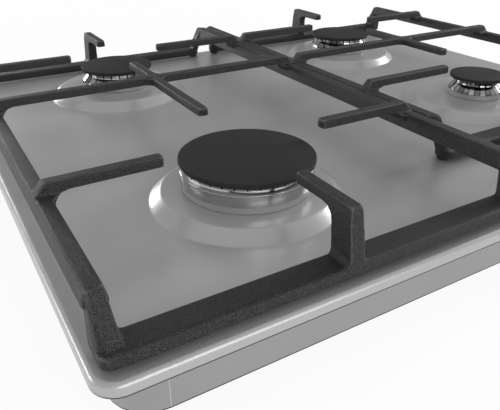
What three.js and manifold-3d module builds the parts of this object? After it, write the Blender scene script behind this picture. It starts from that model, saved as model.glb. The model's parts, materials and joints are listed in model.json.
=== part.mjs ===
// Built-in gas cooktop: pressed plate on a shallow box, four burners, two cast pan supports
// and four taps at the front right. Millimetres, +Z up, X to the right, Y to the rear.
// Inside the hob group the plate's top face is z = 0 and its middle is x = y = 0.

import * as THREE from 'three';
import { mergeVertices } from 'three/addons/utils/BufferGeometryUtils.js';
import { ConvexGeometry } from 'three/addons/geometries/ConvexGeometry.js';
import Module from 'manifold-3d';

const wasm = await Module();
wasm.setup();

// ---------------------------------------------------------------- driving sizes

const gap = 0.3;            // between pieces that rest on each other
const runningGap = 0.05;    // between a turning shaft and its bore

const plate = { width: 580, depth: 500, sheet: 1, corner: 14, edge: 3, skirt: 7.5 };
const tray = { inset: 12, height: 38.5, sheet: 0.8, corner: 24.5, lip: 9 };
const pocket = { width: 62, depth: 60, height: 25 };      // gas connection, rear right
const gasket = { inset: 3.4, width: 7.4, below: 0.4 };
const rail = { radius: 7, wall: 1.5, fromFront: 76, fromRight: 38, bend: 24, beyondTap: 18 };
const railAboveFloor = 11.6;
const tube = { radius: 3, inValve: 7, inBoss: 6 };

const left = -plate.width / 2;
const right = plate.width / 2;
const front = -plate.depth / 2;
const rear = plate.depth / 2;
const trayBottom = -tray.height;
const floor = trayBottom + tray.sheet;
const underPlate = -plate.sheet;

// Burners: centre from the plate's edges, cap, top of cap, and how far beyond the cap's edge
// the pan support's fingers stop. The flare is how much wider the crown is at its foot.
const burners = [
  { name: 'front_left', x: left + 144, y: front + 122.6, cap: 46.4, capTop: 30.3, flare: 0,
    neck: 29.5, slots: 36, slotWidth: 1.1, port: 0,
    tips: { left: 13.6, right: 13.1, front: 15.2, rear: 17 } },
  { name: 'rear_left', x: left + 145.2, y: rear - 108.2, cap: 35.2, capTop: 28.8, flare: 5.6,
    neck: 22.5, slots: 24, slotWidth: 1.4, port: 0,
    tips: { left: 10, right: 9.6, front: 15.6, rear: 10 } },
  { name: 'rear_right', x: right - 143.5, y: rear - 107.8, cap: 34.8, capTop: 28.8, flare: 5.6,
    neck: 22.5, slots: 24, slotWidth: 1.4, port: 0,
    tips: { left: 9.8, right: 9.8, front: 17.4, rear: 10 } },
  { name: 'front_right', x: right - 143.1, y: front + 178.1, cap: 25.9, capTop: 28.8, flare: 5.9,
    neck: 15.5, slots: 18, slotWidth: 1.4, port: -90,
    tips: { left: 20.4, right: 20.4, front: 18.1, rear: 18 } },
];
const largestCap = Math.max(...burners.map((burner) => burner.cap));

// The pressed seat under each burner: a steep slope from foot to brow, a shallow cone, a flat.
const seat = { foot: largestCap + 20.6, brow: largestCap + 12.6, flat: largestCap - 0.8,
  browHigh: 7.4, flatHigh: 8.8, browEase: 1.2, browDrop: 0.7 };
const plateau = seat.flatHigh;
const cap = { thick: 3.3, round: 1.6, spigot: 1.5 };
const crown = { seat: 13.9, wall: 3.2, floor: 3, tubeOuter: 11, tubeWall: 2, tubeDrop: 17,
  slotDeep: 3, spigot: 2.4 };
const cup = { wall: 2.5, depth: 24, rim: 2.4, inFromCrown: 0.6, floor: 2.4, bossRadius: 9, bossDeep: 9.5 };
const injector = { hex: 9, head: 5, shank: 3, thread: 4.5, orifice: 0.5 };
const plug = { angle: 42, fromCrown: 6, radius: 3, collar: 4.4, collarHigh: 2, down: 20,
  up: 6, electrode: 1, electrodeTop: 21 };
const probe = { angle: 80, fromCrown: 5, radius: 1.8, collar: 3.2, collarHigh: 2, down: 16, top: 20.5 };

// Taps in a row along the front right, with the knobs above the plate.
const taps = { fromFront: 46, fromRight: [218, 160, 102, 44], serves: [0, 1, 3, 2] };
const knob = { radius: 19, skirt: 4, topRadius: 16.5, above: 5.2, height: 11, grip: 9,
  gripHigh: 11, wall: 2, boss: 5.5 };
const stem = { radius: 3, intoKnob: 9, intoPlug: 9, travel: 3 };
const valve = { radius: 10.5, top: -8, plugRadius: 6, blockWidth: 18, outletRadius: 5.2,
  outletReach: 16, outletZ: -13.5 };
const seal = { outer: 9, inner: 3.6, lip: 1.6, neck: 5.4, plateHole: 6 };

// Pan supports: side bars and ends are low, the fingers rise above them.
const support = { inset: 5.9, splitGap: 2, top: 36, sideWidth: 8.8, sideHeight: 9.5,
  splitHeight: 11.5, draft: 2.2, sideStart: 17,
  fingerTop: 43.5, fingerHigh: 6.8, fingerHalf: 3.5, fingerDraft: 0.9, tipRound: 2.6,
  crossFromMiddle: 35, fillet: 9, rootFillet: 11, slopeStart: 0.6, slopeEnd: 6.1, endChamfer: 0.8 };
const lowBar = { inset: 6.2, width: 18.2, under: 3, height: 7.3, chamfer: 1.4, lean: 0.9,
  corner: 6, fromSplit: 8, beyondSide: 0.9 };
const rightSetback = 80.2;          // the right support stops behind the knobs
const foot = { radius: 5, inset: 14 };

const ignition = { width: 62, depth: 34, height: 22, fromRight: 250, fromRear: 66 };
const terminal = { width: 34, depth: 18, height: 16, fromRight: 170, fromRear: 62 };
const gland = { fromRight: 170, z: -22, radius: 7, flange: 9.5, length: 16 };

// ---------------------------------------------------------------- solids

// Sides of a full turn, or steps in half a right angle where the name says corner.
const round = { corner: 3, seat: 32, cap: 28, crown: 24, knob: 18, shaft: 14, small: 10,
  tiny: 6 };

function signedVolume(geometry) {
  const at = geometry.getAttribute('position');
  const index = geometry.getIndex();
  const [a, b, c] = [new THREE.Vector3(), new THREE.Vector3(), new THREE.Vector3()];
  let sum = 0;
  for (let i = 0; i < index.count; i += 3) {
    a.fromBufferAttribute(at, index.getX(i));
    b.fromBufferAttribute(at, index.getX(i + 1));
    c.fromBufferAttribute(at, index.getX(i + 2));
    sum += a.dot(b.cross(c));
  }
  return sum / 6;
}

// A closed three.js geometry as a solid that can be joined and cut.
function solid(source) {
  const geometry = source.clone();
  geometry.deleteAttribute('normal');
  geometry.deleteAttribute('uv');
  const merged = mergeVertices(geometry, 1e-4);
  const triVerts = Uint32Array.from(merged.getIndex().array);
  if (signedVolume(merged) < 0) {
    for (let i = 0; i < triVerts.length; i += 3) {
      [triVerts[i], triVerts[i + 1]] = [triVerts[i + 1], triVerts[i]];
    }
  }
  const vertProperties = Float32Array.from(merged.getAttribute('position').array);
  return new wasm.Manifold(new wasm.Mesh({ numProp: 3, vertProperties, triVerts }));
}

function toGeometry(shape) {
  const mesh = shape.getMesh();
  const geometry = new THREE.BufferGeometry();
  geometry.setAttribute('position', new THREE.BufferAttribute(Float32Array.from(mesh.vertProperties), 3));
  geometry.setIndex(new THREE.BufferAttribute(Uint32Array.from(mesh.triVerts), 1));
  geometry.computeVertexNormals();
  return geometry;
}

const join = (first, ...others) => others.reduce((sum, next) => sum.add(next), first);
const cut = (first, ...others) => others.reduce((rest, next) => rest.subtract(next), first);

// A solid turned by an angle about Z and moved.
function placed(shape, x, y, z = 0, degrees = 0) {
  const geometry = toGeometry(shape);
  geometry.rotateZ(THREE.MathUtils.degToRad(degrees));
  geometry.translate(x, y, z);
  return solid(geometry);
}

function outline(points) {
  return new THREE.Shape(points.map(([x, y]) => new THREE.Vector2(x, y)));
}

// Prisms: an outline in plan raised from z0 to z1, a section in (y, z) along X, and a
// section in (x, z) along Y.
function raised(shape, z0, z1, curveSegments = round.corner) {
  const geometry = new THREE.ExtrudeGeometry(shape, { depth: z1 - z0, bevelEnabled: false, curveSegments });
  geometry.translate(0, 0, z0);
  return solid(geometry);
}

function alongX(shape, x0, x1, curveSegments = 3) {
  const geometry = new THREE.ExtrudeGeometry(shape, { depth: x1 - x0, bevelEnabled: false, curveSegments });
  geometry.applyMatrix4(new THREE.Matrix4().set(0, 0, 1, x0, 1, 0, 0, 0, 0, 1, 0, 0, 0, 0, 0, 1));
  return solid(geometry);
}

function alongY(shape, y0, y1, curveSegments = 3) {
  const geometry = new THREE.ExtrudeGeometry(shape, { depth: y1 - y0, bevelEnabled: false, curveSegments });
  geometry.applyMatrix4(new THREE.Matrix4().set(1, 0, 0, 0, 0, 0, -1, y1, 0, 1, 0, 0, 0, 0, 0, 1));
  return solid(geometry);
}

function block(x0, x1, y0, y1, z0, z1) {
  const geometry = new THREE.BoxGeometry(x1 - x0, y1 - y0, z1 - z0);
  geometry.translate((x0 + x1) / 2, (y0 + y1) / 2, (z0 + z1) / 2);
  return solid(geometry);
}

function roundedRect(width, depth, radius) {
  const [x, y] = [width / 2, depth / 2];
  const shape = new THREE.Shape();
  shape.moveTo(-x + radius, -y);
  shape.lineTo(x - radius, -y);
  shape.absarc(x - radius, -y + radius, radius, -Math.PI / 2, 0, false);
  shape.lineTo(x, y - radius);
  shape.absarc(x - radius, y - radius, radius, 0, Math.PI / 2, false);
  shape.lineTo(-x + radius, y);
  shape.absarc(-x + radius, y - radius, radius, Math.PI / 2, Math.PI, false);
  shape.lineTo(-x, -y + radius);
  shape.absarc(-x + radius, -y + radius, radius, Math.PI, 1.5 * Math.PI, false);
  return shape;
}

// The plate's own outline moved in by an inset, as a prism.
function plateSlab(inset, radius, z0, z1) {
  return raised(roundedRect(plate.width - 2 * inset, plate.depth - 2 * inset, radius), z0, z1);
}

// A revolved piece about Z from (radius, z) points.
function turned(points, sides) {
  const profile = points.map(([r, z]) => new THREE.Vector2(r, z));
  const geometry = new THREE.LatheGeometry(profile, sides);
  geometry.rotateX(Math.PI / 2);
  return solid(geometry);
}

const ring = (inner, outer, z0, z1, sides) =>
  turned([[inner, z0], [outer, z0], [outer, z1], [inner, z1], [inner, z0]], sides);
const rod = (radius, z0, z1, sides = round.small) =>
  turned([[0, z0], [radius, z0], [radius, z1], [0, z1]], sides);

// A rod lying along Y, from y0 to y1.
function lyingRod(radius, x, z, y0, y1, sides = round.small) {
  const geometry = toGeometry(rod(radius, y0, y1, sides));
  geometry.rotateX(-Math.PI / 2);
  geometry.translate(x, 0, z);
  return solid(geometry);
}

// The radius to draw a faceted bore at, so that its flats clear a shaft by the clearance.
const boreFor = (shaft, clearance, sides) => (shaft + clearance) / Math.cos(Math.PI / sides);

// ---------------------------------------------------------------- the tree of pieces

const hob = new THREE.Group();
hob.position.z = tray.height;

const finish = {
  steel: { color: 0x9c9c9a, roughness: 0.32, metalness: 1 },
  zinc: { color: 0xa5a5a3, roughness: 0.45, metalness: 0.9 },
  iron: { color: 0x2f2f2e, roughness: 0.6, metalness: 0.1 },
  enamel: { color: 0x262625, roughness: 0.5, metalness: 0 },
  aluminium: { color: 0xc9c9c6, roughness: 0.25, metalness: 1 },
  brass: { color: 0xb08d4a, roughness: 0.35, metalness: 1 },
  ceramic: { color: 0xeeeae0, roughness: 0.35, metalness: 0 },
  rubber: { color: 0x1d1d1d, roughness: 0.9, metalness: 0 },
  plastic: { color: 0x1b1b1c, roughness: 0.4, metalness: 0 },
  whitePlastic: { color: 0xd9d7d0, roughness: 0.5, metalness: 0 },
  copper: { color: 0xb87850, roughness: 0.35, metalness: 1 },
};

function add(name, shape, look, x = 0, y = 0) {
  const mesh = new THREE.Mesh(toGeometry(shape), new THREE.MeshStandardMaterial({ ...finish[look] }));
  mesh.name = name;
  mesh.position.set(x, y, 0);
  hob.add(mesh);
}

const crownFoot = (burner) => burner.cap + (burner.flare ? 0.2 : -0.8);
const crownTopRadius = (burner) => crownFoot(burner) - burner.flare;
const crownTop = (burner) => burner.capTop - cap.thick - gap;
const cupOuter = (burner) => crownFoot(burner) - cup.inFromCrown;
const around = (burner, distance, degrees) => [
  burner.x + distance * Math.cos(THREE.MathUtils.degToRad(degrees)),
  burner.y + distance * Math.sin(THREE.MathUtils.degToRad(degrees)),
];
const plugAt = (burner) => around(burner, crownFoot(burner) + plug.fromCrown, plug.angle);
const probeAt = (burner) => around(burner, crownFoot(burner) + probe.fromCrown, probe.angle);
const tapList = taps.fromRight.map((distance, i) => (
  { x: right - distance, y: front + taps.fromFront, burner: burners[taps.serves[i]] }));

// ---------------------------------------------------------------- plate, box and seal

function plateBlank(inset, edge, top, bottom) {
  const shape = roundedRect(plate.width - 2 * (inset + edge), plate.depth - 2 * (inset + edge),
    plate.corner - inset - edge);
  const high = top - bottom;
  const geometry = new THREE.ExtrudeGeometry(shape, { depth: high, curveSegments: round.corner,
    bevelEnabled: true, bevelThickness: edge, bevelSize: edge, bevelSegments: 3 });
  geometry.translate(0, 0, bottom - edge);
  const below = plateSlab(-1, plate.corner, bottom - 3 * edge, bottom);
  return cut(solid(geometry), below);
}

// The seat's top face at a distance from its burner's centre, inside the brow.
function seatHigh(distance) {
  const along = (distance - seat.flat) / (seat.brow - seat.flat);
  return seat.flatHigh - (seat.flatHigh - seat.browHigh) * THREE.MathUtils.clamp(along, 0, 1);
}

function pressedSeat(b) {
  const [sheet, hole] = [plate.sheet, b.neck + 1];
  return turned([
    [hole, seat.flatHigh - sheet], [seat.flat, seat.flatHigh - sheet],
    [seat.brow - sheet / 2, seat.browHigh - sheet], [seat.foot, -sheet], [seat.foot, 0],
    [seat.brow + seat.browEase, seat.browHigh - seat.browDrop], [seat.brow, seat.browHigh],
    [seat.flat, seat.flatHigh], [hole, seat.flatHigh], [hole, seat.flatHigh - sheet],
  ], round.seat);
}

function topPlate() {
  const outer = plateBlank(0, plate.edge, 0, -plate.skirt);
  const inner = plateBlank(plate.sheet, plate.edge - plate.sheet, -plate.sheet, -plate.skirt - 1);
  const shell = cut(outer, inner);
  const opened = burners.map((b) => placed(rod(seat.foot, -3, 3, round.seat), b.x, b.y));
  const seats = burners.map((b) => placed(pressedSeat(b), b.x, b.y));
  const plugs = burners.map((b) => placed(rod(plug.radius + 0.6, plateau - 4, plateau + 4), ...plugAt(b)));
  const probes = burners.map((b) => placed(rod(probe.radius + 0.5, plateau - 4, plateau + 4, round.tiny),
    ...probeAt(b)));
  const stems = tapList.map((tap) => placed(rod(seal.plateHole, -4, 4), tap.x, tap.y));
  return cut(join(cut(shell, ...opened), ...seats), ...plugs, ...probes, ...stems);
}

const trayWidth = plate.width - 2 * tray.inset;
const trayDepth = plate.depth - 2 * tray.inset;
const trayRight = trayWidth / 2;
const trayRear = trayDepth / 2;
const pocketLeft = trayRight - pocket.width;
const pocketFront = trayRear - pocket.depth;
const pocketRoof = trayBottom + pocket.height;
const railZ = floor + railAboveFloor;
const railY = front + rail.fromFront;
const railX = right - rail.fromRight;

function bottomBox() {
  const top = underPlate - gap;
  const shape = (inset) => roundedRect(trayWidth - 2 * inset, trayDepth - 2 * inset, tray.corner - inset);
  const outer = raised(shape(0), trayBottom, top);
  const inner = raised(shape(tray.sheet), floor, top - tray.sheet);
  const mouth = raised(shape(tray.lip), floor, top + 1);
  const s = tray.sheet;
  const step = block(pocketLeft, trayRight + 5, pocketFront, trayRear + 5, trayBottom - 5, pocketRoof);
  const stepSkin = block(pocketLeft - s, trayRight + 5, pocketFront - s, trayRear + 5, trayBottom - 5,
    pocketRoof + s);
  const railHole = lyingRod(rail.radius + 0.6, railX, railZ, pocketFront - 4, pocketFront + 4);
  const glandHole = lyingRod(gland.radius + gap, right - gland.fromRight, gland.z, trayRear - 4, trayRear + 4);
  const slots = [];
  for (const x of [-0.62, 0.62]) {
    for (const y of [-trayDepth / 2 + 22, trayDepth / 2 - 22]) {
      const middle = x * trayWidth / 2;
      slots.push(block(middle - 8, middle + 8, y - 2.2, y + 2.2, trayBottom - 1, floor + 1));
    }
  }
  const hollow = join(cut(inner, stepSkin), cut(mouth, stepSkin));
  return cut(outer, step, hollow, railHole, glandHole, ...slots);
}

function sealingGasket() {
  const outerInset = gasket.inset;
  const innerInset = gasket.inset + gasket.width;
  const top = underPlate - gap;
  const bottom = -plate.skirt - gasket.below;
  const outer = plateSlab(outerInset, plate.corner - outerInset, bottom, top);
  const inner = plateSlab(innerInset, plate.corner - outerInset, bottom - 1, top + 1);
  return cut(outer, inner);
}

// ---------------------------------------------------------------- gas supply

function pipe(path, radius, steps, sides) {
  const section = new THREE.Shape();
  section.absarc(0, 0, radius, 0, 2 * Math.PI, false);
  const geometry = new THREE.ExtrudeGeometry(section, { steps, extrudePath: path, curveSegments: sides / 2 });
  return solid(geometry);
}

const elbowY = pocketFront + 27;
const elbow = { body: 11, socket: 10, thread: 10.4, collarFromWall: 2 };
const railStart = tapList[0].x - rail.beyondTap;

// The rail's outer or inner form: along the front behind the taps, then back to the gas inlet.
function railForm(radius, past) {
  const turn = new THREE.Vector3(railX, railY, railZ);
  const before = new THREE.Vector3(railX - rail.bend, railY, railZ);
  const after = new THREE.Vector3(railX, railY + rail.bend, railZ);
  const lap = 1;
  const along = toGeometry(rod(radius, railStart - past, before.x + lap));
  along.rotateY(Math.PI / 2);
  along.translate(0, railY, railZ);
  const back = lyingRod(radius, railX, railZ, after.y - lap, elbowY - elbow.body + past);
  const bend = pipe(new THREE.QuadraticBezierCurve3(before, turn, after), radius, 6, round.small);
  return join(solid(along), bend, back);
}

function gasRail() {
  return cut(railForm(rail.radius, 0), railForm(rail.radius - rail.wall, 1));
}

function railEndPlug() {
  const geometry = toGeometry(turned([
    [0, -rail.wall * 4], [rail.radius - rail.wall - gap, -rail.wall * 4],
    [rail.radius - rail.wall - gap, gap], [rail.radius, gap], [rail.radius, 3], [0, 3],
  ], 6));
  geometry.rotateY(-Math.PI / 2);
  geometry.translate(railStart, railY, railZ);
  return solid(geometry);
}

function inletElbow() {
  const bottom = trayBottom + 0.4;
  const upright = placed(turned([
    [0, bottom], [elbow.thread, bottom], [elbow.thread, bottom + 8], [elbow.body, bottom + 9],
    [elbow.body, railZ + 6], [elbow.body - 4, railZ + elbow.body - 1], [0, railZ + elbow.body - 1],
  ], 16), railX, elbowY);
  const arm = lyingRod(elbow.socket, railX, railZ, pocketFront + elbow.collarFromWall, elbowY);
  const socket = lyingRod(boreFor(rail.radius, gap, round.small), railX, railZ,
    pocketFront, elbowY - elbow.body + gap);
  const way = lyingRod(rail.radius - rail.wall, railX, railZ, pocketFront, elbowY);
  const down = placed(rod(7, bottom - 1, railZ + 3), railX, elbowY);
  return cut(join(upright, arm), socket, way, down);
}

function gasTube(tap) {
  const { burner } = tap;
  const bossZ = -cup.depth - cup.bossDeep / 2;
  const toward = new THREE.Vector3(Math.cos(burner.port * Math.PI / 180), Math.sin(burner.port * Math.PI / 180), 0);
  const centre = new THREE.Vector3(burner.x, burner.y, bossZ);
  const end = centre.clone().addScaledVector(toward, cup.bossRadius - tube.inBoss);
  const straight = centre.clone().addScaledVector(toward, cup.bossRadius + 8);
  const approach = centre.clone().addScaledVector(toward, cup.bossRadius + 24);
  const outlet = tap.y + valve.outletReach;
  const points = [
    new THREE.Vector3(tap.x, outlet - tube.inValve, valve.outletZ),
    new THREE.Vector3(tap.x, outlet + 4, valve.outletZ),
    new THREE.Vector3(tap.x, railY + 6, valve.outletZ),
  ];
  points.push(...tubeWay(tap, approach));
  points.push(approach, straight, end);
  return pipe(new THREE.CatmullRomCurve3(points, false, 'centripetal'), tube.radius, 18, 6);
}

// Points that lead a tube from behind the rail to its burner, clear of the other burners.
function tubeWay(tap, approach) {
  const z = approach.z;
  const behind = railY + 40;
  if (tap.burner === burners[0]) {
    return [new THREE.Vector3(tap.x - 22, railY + 32, z + 4), new THREE.Vector3(tap.x - 70, burners[0].y, z)];
  }
  if (tap.burner === burners[1]) {
    return [new THREE.Vector3(tap.x - 20, behind, z + 4),
      new THREE.Vector3(-40, burners[3].y + 30, z),
      new THREE.Vector3(-75, burners[1].y - 50, z)];
  }
  if (tap.burner === burners[2]) {
    const lane = railX - 32;
    return [new THREE.Vector3(tap.x - 8, behind, z + 8), new THREE.Vector3(lane, behind + 40, z),
      new THREE.Vector3(lane, burners[2].y - 60, z)];
  }
  return [new THREE.Vector3(tap.x - 18, railY + 24, z + 5)];
}

// ---------------------------------------------------------------- burners

function burnerCup(b) {
  const bottom = -cup.depth;
  const inside = b.neck - cup.wall;
  const outer = cupOuter(b);
  const [under, rimTop] = [plateau + gap, crown.seat - gap];
  const body = turned([
    [0, bottom - cup.bossDeep], [cup.bossRadius, bottom - cup.bossDeep], [cup.bossRadius, bottom],
    [b.neck, bottom], [b.neck, under], [outer, under], [outer, rimTop], [outer - cup.rim, rimTop],
    [outer - cup.rim, under + cup.floor], [inside, under + cup.floor], [inside, bottom + cup.wall],
    [0, bottom + cup.wall],
  ], round.crown);
  const jetHole = rod(injector.shank + gap, bottom - cup.bossDeep / 2, bottom + cup.wall + 1, round.tiny);
  const side = lyingRod(boreFor(tube.radius, gap, 8), 0, bottom - cup.bossDeep / 2, 1.5, cup.bossRadius + 5, 8);
  return cut(body, jetHole, placed(side, 0, 0, 0, b.port - 90));
}

function burnerInjector() {
  const foot = -cup.depth + cup.wall + gap;
  const hex = turned([
    [injector.orifice, foot], [injector.hex / 2, foot], [injector.hex / 2, foot + injector.head - 1],
    [injector.hex / 2 - 1.6, foot + injector.head], [injector.orifice, foot + injector.head],
    [injector.orifice, foot],
  ], 6);
  const shank = ring(injector.orifice, injector.shank, foot - injector.thread, foot + 0.5, 6);
  return join(hex, shank);
}

function burnerCrown(b) {
  const top = crownTop(b);
  const [footR, topR] = [crownFoot(b), crownTopRadius(b)];
  const tubeOut = Math.min(crown.tubeOuter, b.neck - cup.wall - 4);
  const tubeIn = tubeOut - crown.tubeWall;
  const bed = crown.seat + crown.floor;
  const spigotOut = cupOuter(b) - cup.rim - 0.5;
  const waist = b.flare ? top - 4.2 : bed;
  const body = turned([
    [tubeIn, crown.seat - crown.tubeDrop], [tubeOut, crown.seat - crown.tubeDrop],
    [tubeOut, crown.seat - crown.spigot],
    [spigotOut, crown.seat - crown.spigot], [spigotOut, crown.seat], [footR, crown.seat],
    [footR - b.flare * 0.12, crown.seat + 1.8], [topR, waist], [topR, top],
    [topR - crown.wall, top], [topR - crown.wall, bed + 0.5], [tubeOut, bed + 0.5],
    [tubeOut, top - 4.5], [tubeIn, top - 4.5], [tubeIn, crown.seat - crown.tubeDrop],
  ], round.crown);
  const slots = [];
  for (let i = 0; i < b.slots / 2; i += 1) {
    const bar = block(-footR - 1, footR + 1, -b.slotWidth / 2, b.slotWidth / 2, top - crown.slotDeep, top + 1);
    slots.push(placed(bar, 0, 0, 0, (i + 0.5) * 360 / b.slots));
  }
  return cut(body, ...slots);
}

function burnerCap(b) {
  const [top, bottom, r] = [b.capTop, b.capTop - cap.thick, b.cap];
  const spigot = crownTopRadius(b) - crown.wall - 0.5;
  return turned([
    [0, bottom - cap.spigot], [spigot, bottom - cap.spigot], [spigot, bottom], [r, bottom],
    [r, top - cap.round], [r - cap.round * 0.3, top - cap.round * 0.3], [r - cap.round, top], [0, top],
  ], round.cap);
}

function sparkPlug(b) {
  const seatZ = seatHigh(crownFoot(b) + plug.fromCrown - plug.collar) + gap;
  return turned([
    [0, plateau - plug.down], [plug.radius - 0.8, plateau - plug.down],
    [plug.radius, plateau - plug.down + 1], [plug.radius, seatZ], [plug.collar, seatZ],
    [plug.collar, seatZ + plug.collarHigh], [plug.radius, seatZ + plug.collarHigh + 0.8],
    [plug.radius - 0.5, plateau + plug.up], [plug.electrode, plateau + plug.up + 0.5],
    [plug.electrode, plug.electrodeTop - 0.6], [0, plug.electrodeTop],
  ], round.tiny);
}

function thermocouple(b) {
  const seatZ = seatHigh(crownFoot(b) + probe.fromCrown - probe.collar) + gap;
  return turned([
    [0, plateau - probe.down], [probe.radius, plateau - probe.down], [probe.radius, seatZ],
    [probe.collar, seatZ], [probe.collar, seatZ + probe.collarHigh],
    [probe.radius, seatZ + probe.collarHigh], [probe.radius, probe.top - 1.2], [0, probe.top],
  ], 6);
}

// ---------------------------------------------------------------- taps and knobs

const plugBottom = railZ - 2;
const plugTop = valve.top - 2;

function valveBody() {
  const barrel = rod(valve.radius, floor + gap, valve.top, 16);
  const reach = rail.fromFront - taps.fromFront;
  const saddle = block(-valve.blockWidth / 2, valve.blockWidth / 2, 0, reach, floor + gap,
    railZ + rail.radius + 1.2);
  const railWay = new THREE.CylinderGeometry(1, 1, 80, round.small);
  railWay.scale(boreFor(rail.radius, gap, round.small), 1, boreFor(rail.radius, gap, round.small));
  railWay.rotateZ(Math.PI / 2);
  railWay.translate(0, reach, railZ);
  const outlet = lyingRod(valve.outletRadius, 0, valve.outletZ, 0, valve.outletReach, 12);
  const tubeBore = lyingRod(boreFor(tube.radius, gap, 8), 0, valve.outletZ,
    valve.outletReach - tube.inValve - gap, valve.outletReach + 1, 8);
  const plugBore = rod(boreFor(valve.plugRadius, runningGap, round.shaft), plugBottom - gap, valve.top + 1,
    round.shaft);
  return cut(join(barrel, saddle, outlet), solid(railWay), tubeBore, plugBore);
}

function valvePlug() {
  const body = rod(valve.plugRadius, plugBottom, plugTop, round.shaft);
  const bore = rod(boreFor(stem.radius, runningGap, round.small), plugTop - stem.intoPlug - stem.travel - 1.5,
    plugTop + 1);
  const port = block(-1.6, 1.6, 0, valve.plugRadius + 1, plugBottom + 2, plugBottom + 5);
  return cut(body, bore, port);
}

function valveStem() {
  const top = knob.above + stem.intoKnob;
  const body = rod(stem.radius, plugTop - stem.intoPlug, top);
  const flat = block(stem.radius - 1, stem.radius + 1, -4, 4, knob.above - 1, top + 1);
  return cut(body, flat);
}

function controlKnob() {
  const [z, r] = [knob.above, knob.radius];
  const crownZ = z + knob.height;
  const body = turned([
    [0, z], [r - 0.6, z], [r, z + 0.6], [r, z + knob.skirt], [r - 0.8, z + knob.skirt + 0.8],
    [knob.topRadius, crownZ - 1], [knob.topRadius - 1.2, crownZ], [0, crownZ],
  ], round.knob);
  const gripShape = roundedRect(2 * knob.topRadius - 1, knob.grip, knob.grip / 2 - 0.5);
  const grip = raised(gripShape, crownZ - 1, crownZ + knob.gripHigh);
  const room = ring(knob.boss, r - knob.wall, z - 1, z + knob.skirt, round.knob);
  const bore = rod(boreFor(stem.radius, gap, round.small), z - 1, z + stem.intoKnob + gap);
  const key = block(stem.radius - 1 + gap, stem.radius + 1, -4, 4, z - 1, z + stem.intoKnob + 1);
  const mark = block(-0.6, 0.6, 4, knob.topRadius - 3, crownZ + knob.gripHigh - 0.5,
    crownZ + knob.gripHigh + 1);
  const turnedGrip = placed(grip, 0, 0, 0, 90);
  return cut(join(body, turnedGrip), room, cut(bore, key), mark);
}

function stemSeal() {
  return turned([
    [seal.inner, -plate.sheet - seal.lip], [seal.neck, -plate.sheet - seal.lip], [seal.neck, gap],
    [seal.outer, gap], [seal.outer, gap + 0.6], [seal.inner, gap + seal.lip],
    [seal.inner, -plate.sheet - seal.lip],
  ], round.shaft);
}

// ---------------------------------------------------------------- pan supports

// A finger along +X from s = 0 to its length: level top, sloping start at its bar, and an
// underside that curves down into the bar. Its sides lean out towards the bottom.
function finger(length) {
  const { top, fingerTop, sideWidth, slopeStart, slopeEnd } = support;
  const under = fingerTop - support.fingerHigh;
  const side = new THREE.Shape();
  side.moveTo(slopeStart, top);
  side.lineTo(slopeEnd, fingerTop);
  blunt(side, length, fingerTop, under);
  rootCurve(side, under);
  side.lineTo(slopeStart + 1, top - support.sideHeight + 1);
  return join(leaning(side, length), rootWebs(under));
}

// A finger's blunt end, from its top edge round to its underside.
function blunt(side, length, top, under) {
  side.lineTo(length - support.endChamfer, top);
  side.lineTo(length, top - support.endChamfer);
  side.lineTo(length, under + support.endChamfer);
  side.lineTo(length - support.endChamfer, under);
}

// The curve of a finger's underside, from level down to its bar.
function rootCurve(side, under) {
  const barSide = support.sideWidth;
  side.lineTo(barSide + support.rootFillet, under);
  side.quadraticCurveTo(barSide + 2, under - 0.4, barSide, support.top - support.sideHeight + 1);
}

// The rounded webs in the corners between a finger and its bar, cut off by the root curve.
function rootWebs(under) {
  const [low, high] = [support.top - support.sideHeight, support.top - 0.4];
  const above = new THREE.Shape();
  above.moveTo(0, support.fingerTop);
  above.lineTo(support.sideWidth + support.rootFillet, support.fingerTop);
  rootCurve(above, under);
  above.lineTo(0, low + 1);
  const webs = [-1, 1].map((sy) => (
    planFillet(support.sideWidth, sy * (support.fingerHalf + 1), 1, sy, support.fillet, low, high)));
  return join(...webs).intersect(alongY(above, -20, 20));
}

// A side profile in (s, z) given a leaning section across it and a rounded end.
function leaning(side, length) {
  const [top, half] = [support.fingerTop, support.fingerHalf];
  const low = lowBar.under;
  const lean = support.fingerDraft / support.fingerHigh;
  const wide = (z) => half + (top - z) * lean * (z < support.top - 6 ? 0.3 : 1);
  const section = outline([
    [-half - 0.1, top + 1], [-wide(support.top), support.top], [-wide(low), low],
    [wide(low), low], [wide(support.top), support.top], [half + 0.1, top + 1],
  ]);
  const rounded = roundedRect(length + 100, 2 * half + 4, support.tipRound + 2);
  const profile = alongY(side, -20, 20);
  const sectionBar = alongX(section, -60, length + 1);
  const plan = placed(raised(rounded, low - 1, top + 2, 2), length / 2 - 50, 0);
  return profile.intersect(sectionBar).intersect(plan);
}

// A prong that stands on a low bar and bends over towards the burner. The s axis starts at the
// bar's outer edge.
const knee = { foot: 0, outer: 4, roundOff: 1.6, inner: 20, innerFoot: 17.9, inside: 10, flare: 4 };

function prong(length) {
  const [top, low] = [support.fingerTop, lowBar.under + lowBar.height - 2];
  const under = top - support.fingerHigh;
  const side = new THREE.Shape();
  side.moveTo(knee.foot, low);
  side.lineTo(knee.foot + 0.3, low + 6);
  side.lineTo(knee.outer, top - 1.2);
  side.quadraticCurveTo(knee.outer + 0.4, top, knee.outer + knee.roundOff, top);
  blunt(side, length, top, under);
  side.lineTo(knee.inner + knee.inside, under);
  side.quadraticCurveTo(knee.inner + 1, under, knee.inner, under - 5);
  side.lineTo(knee.innerFoot, low);
  return join(leaning(side, length), ...prongFeet(low));
}

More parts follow.
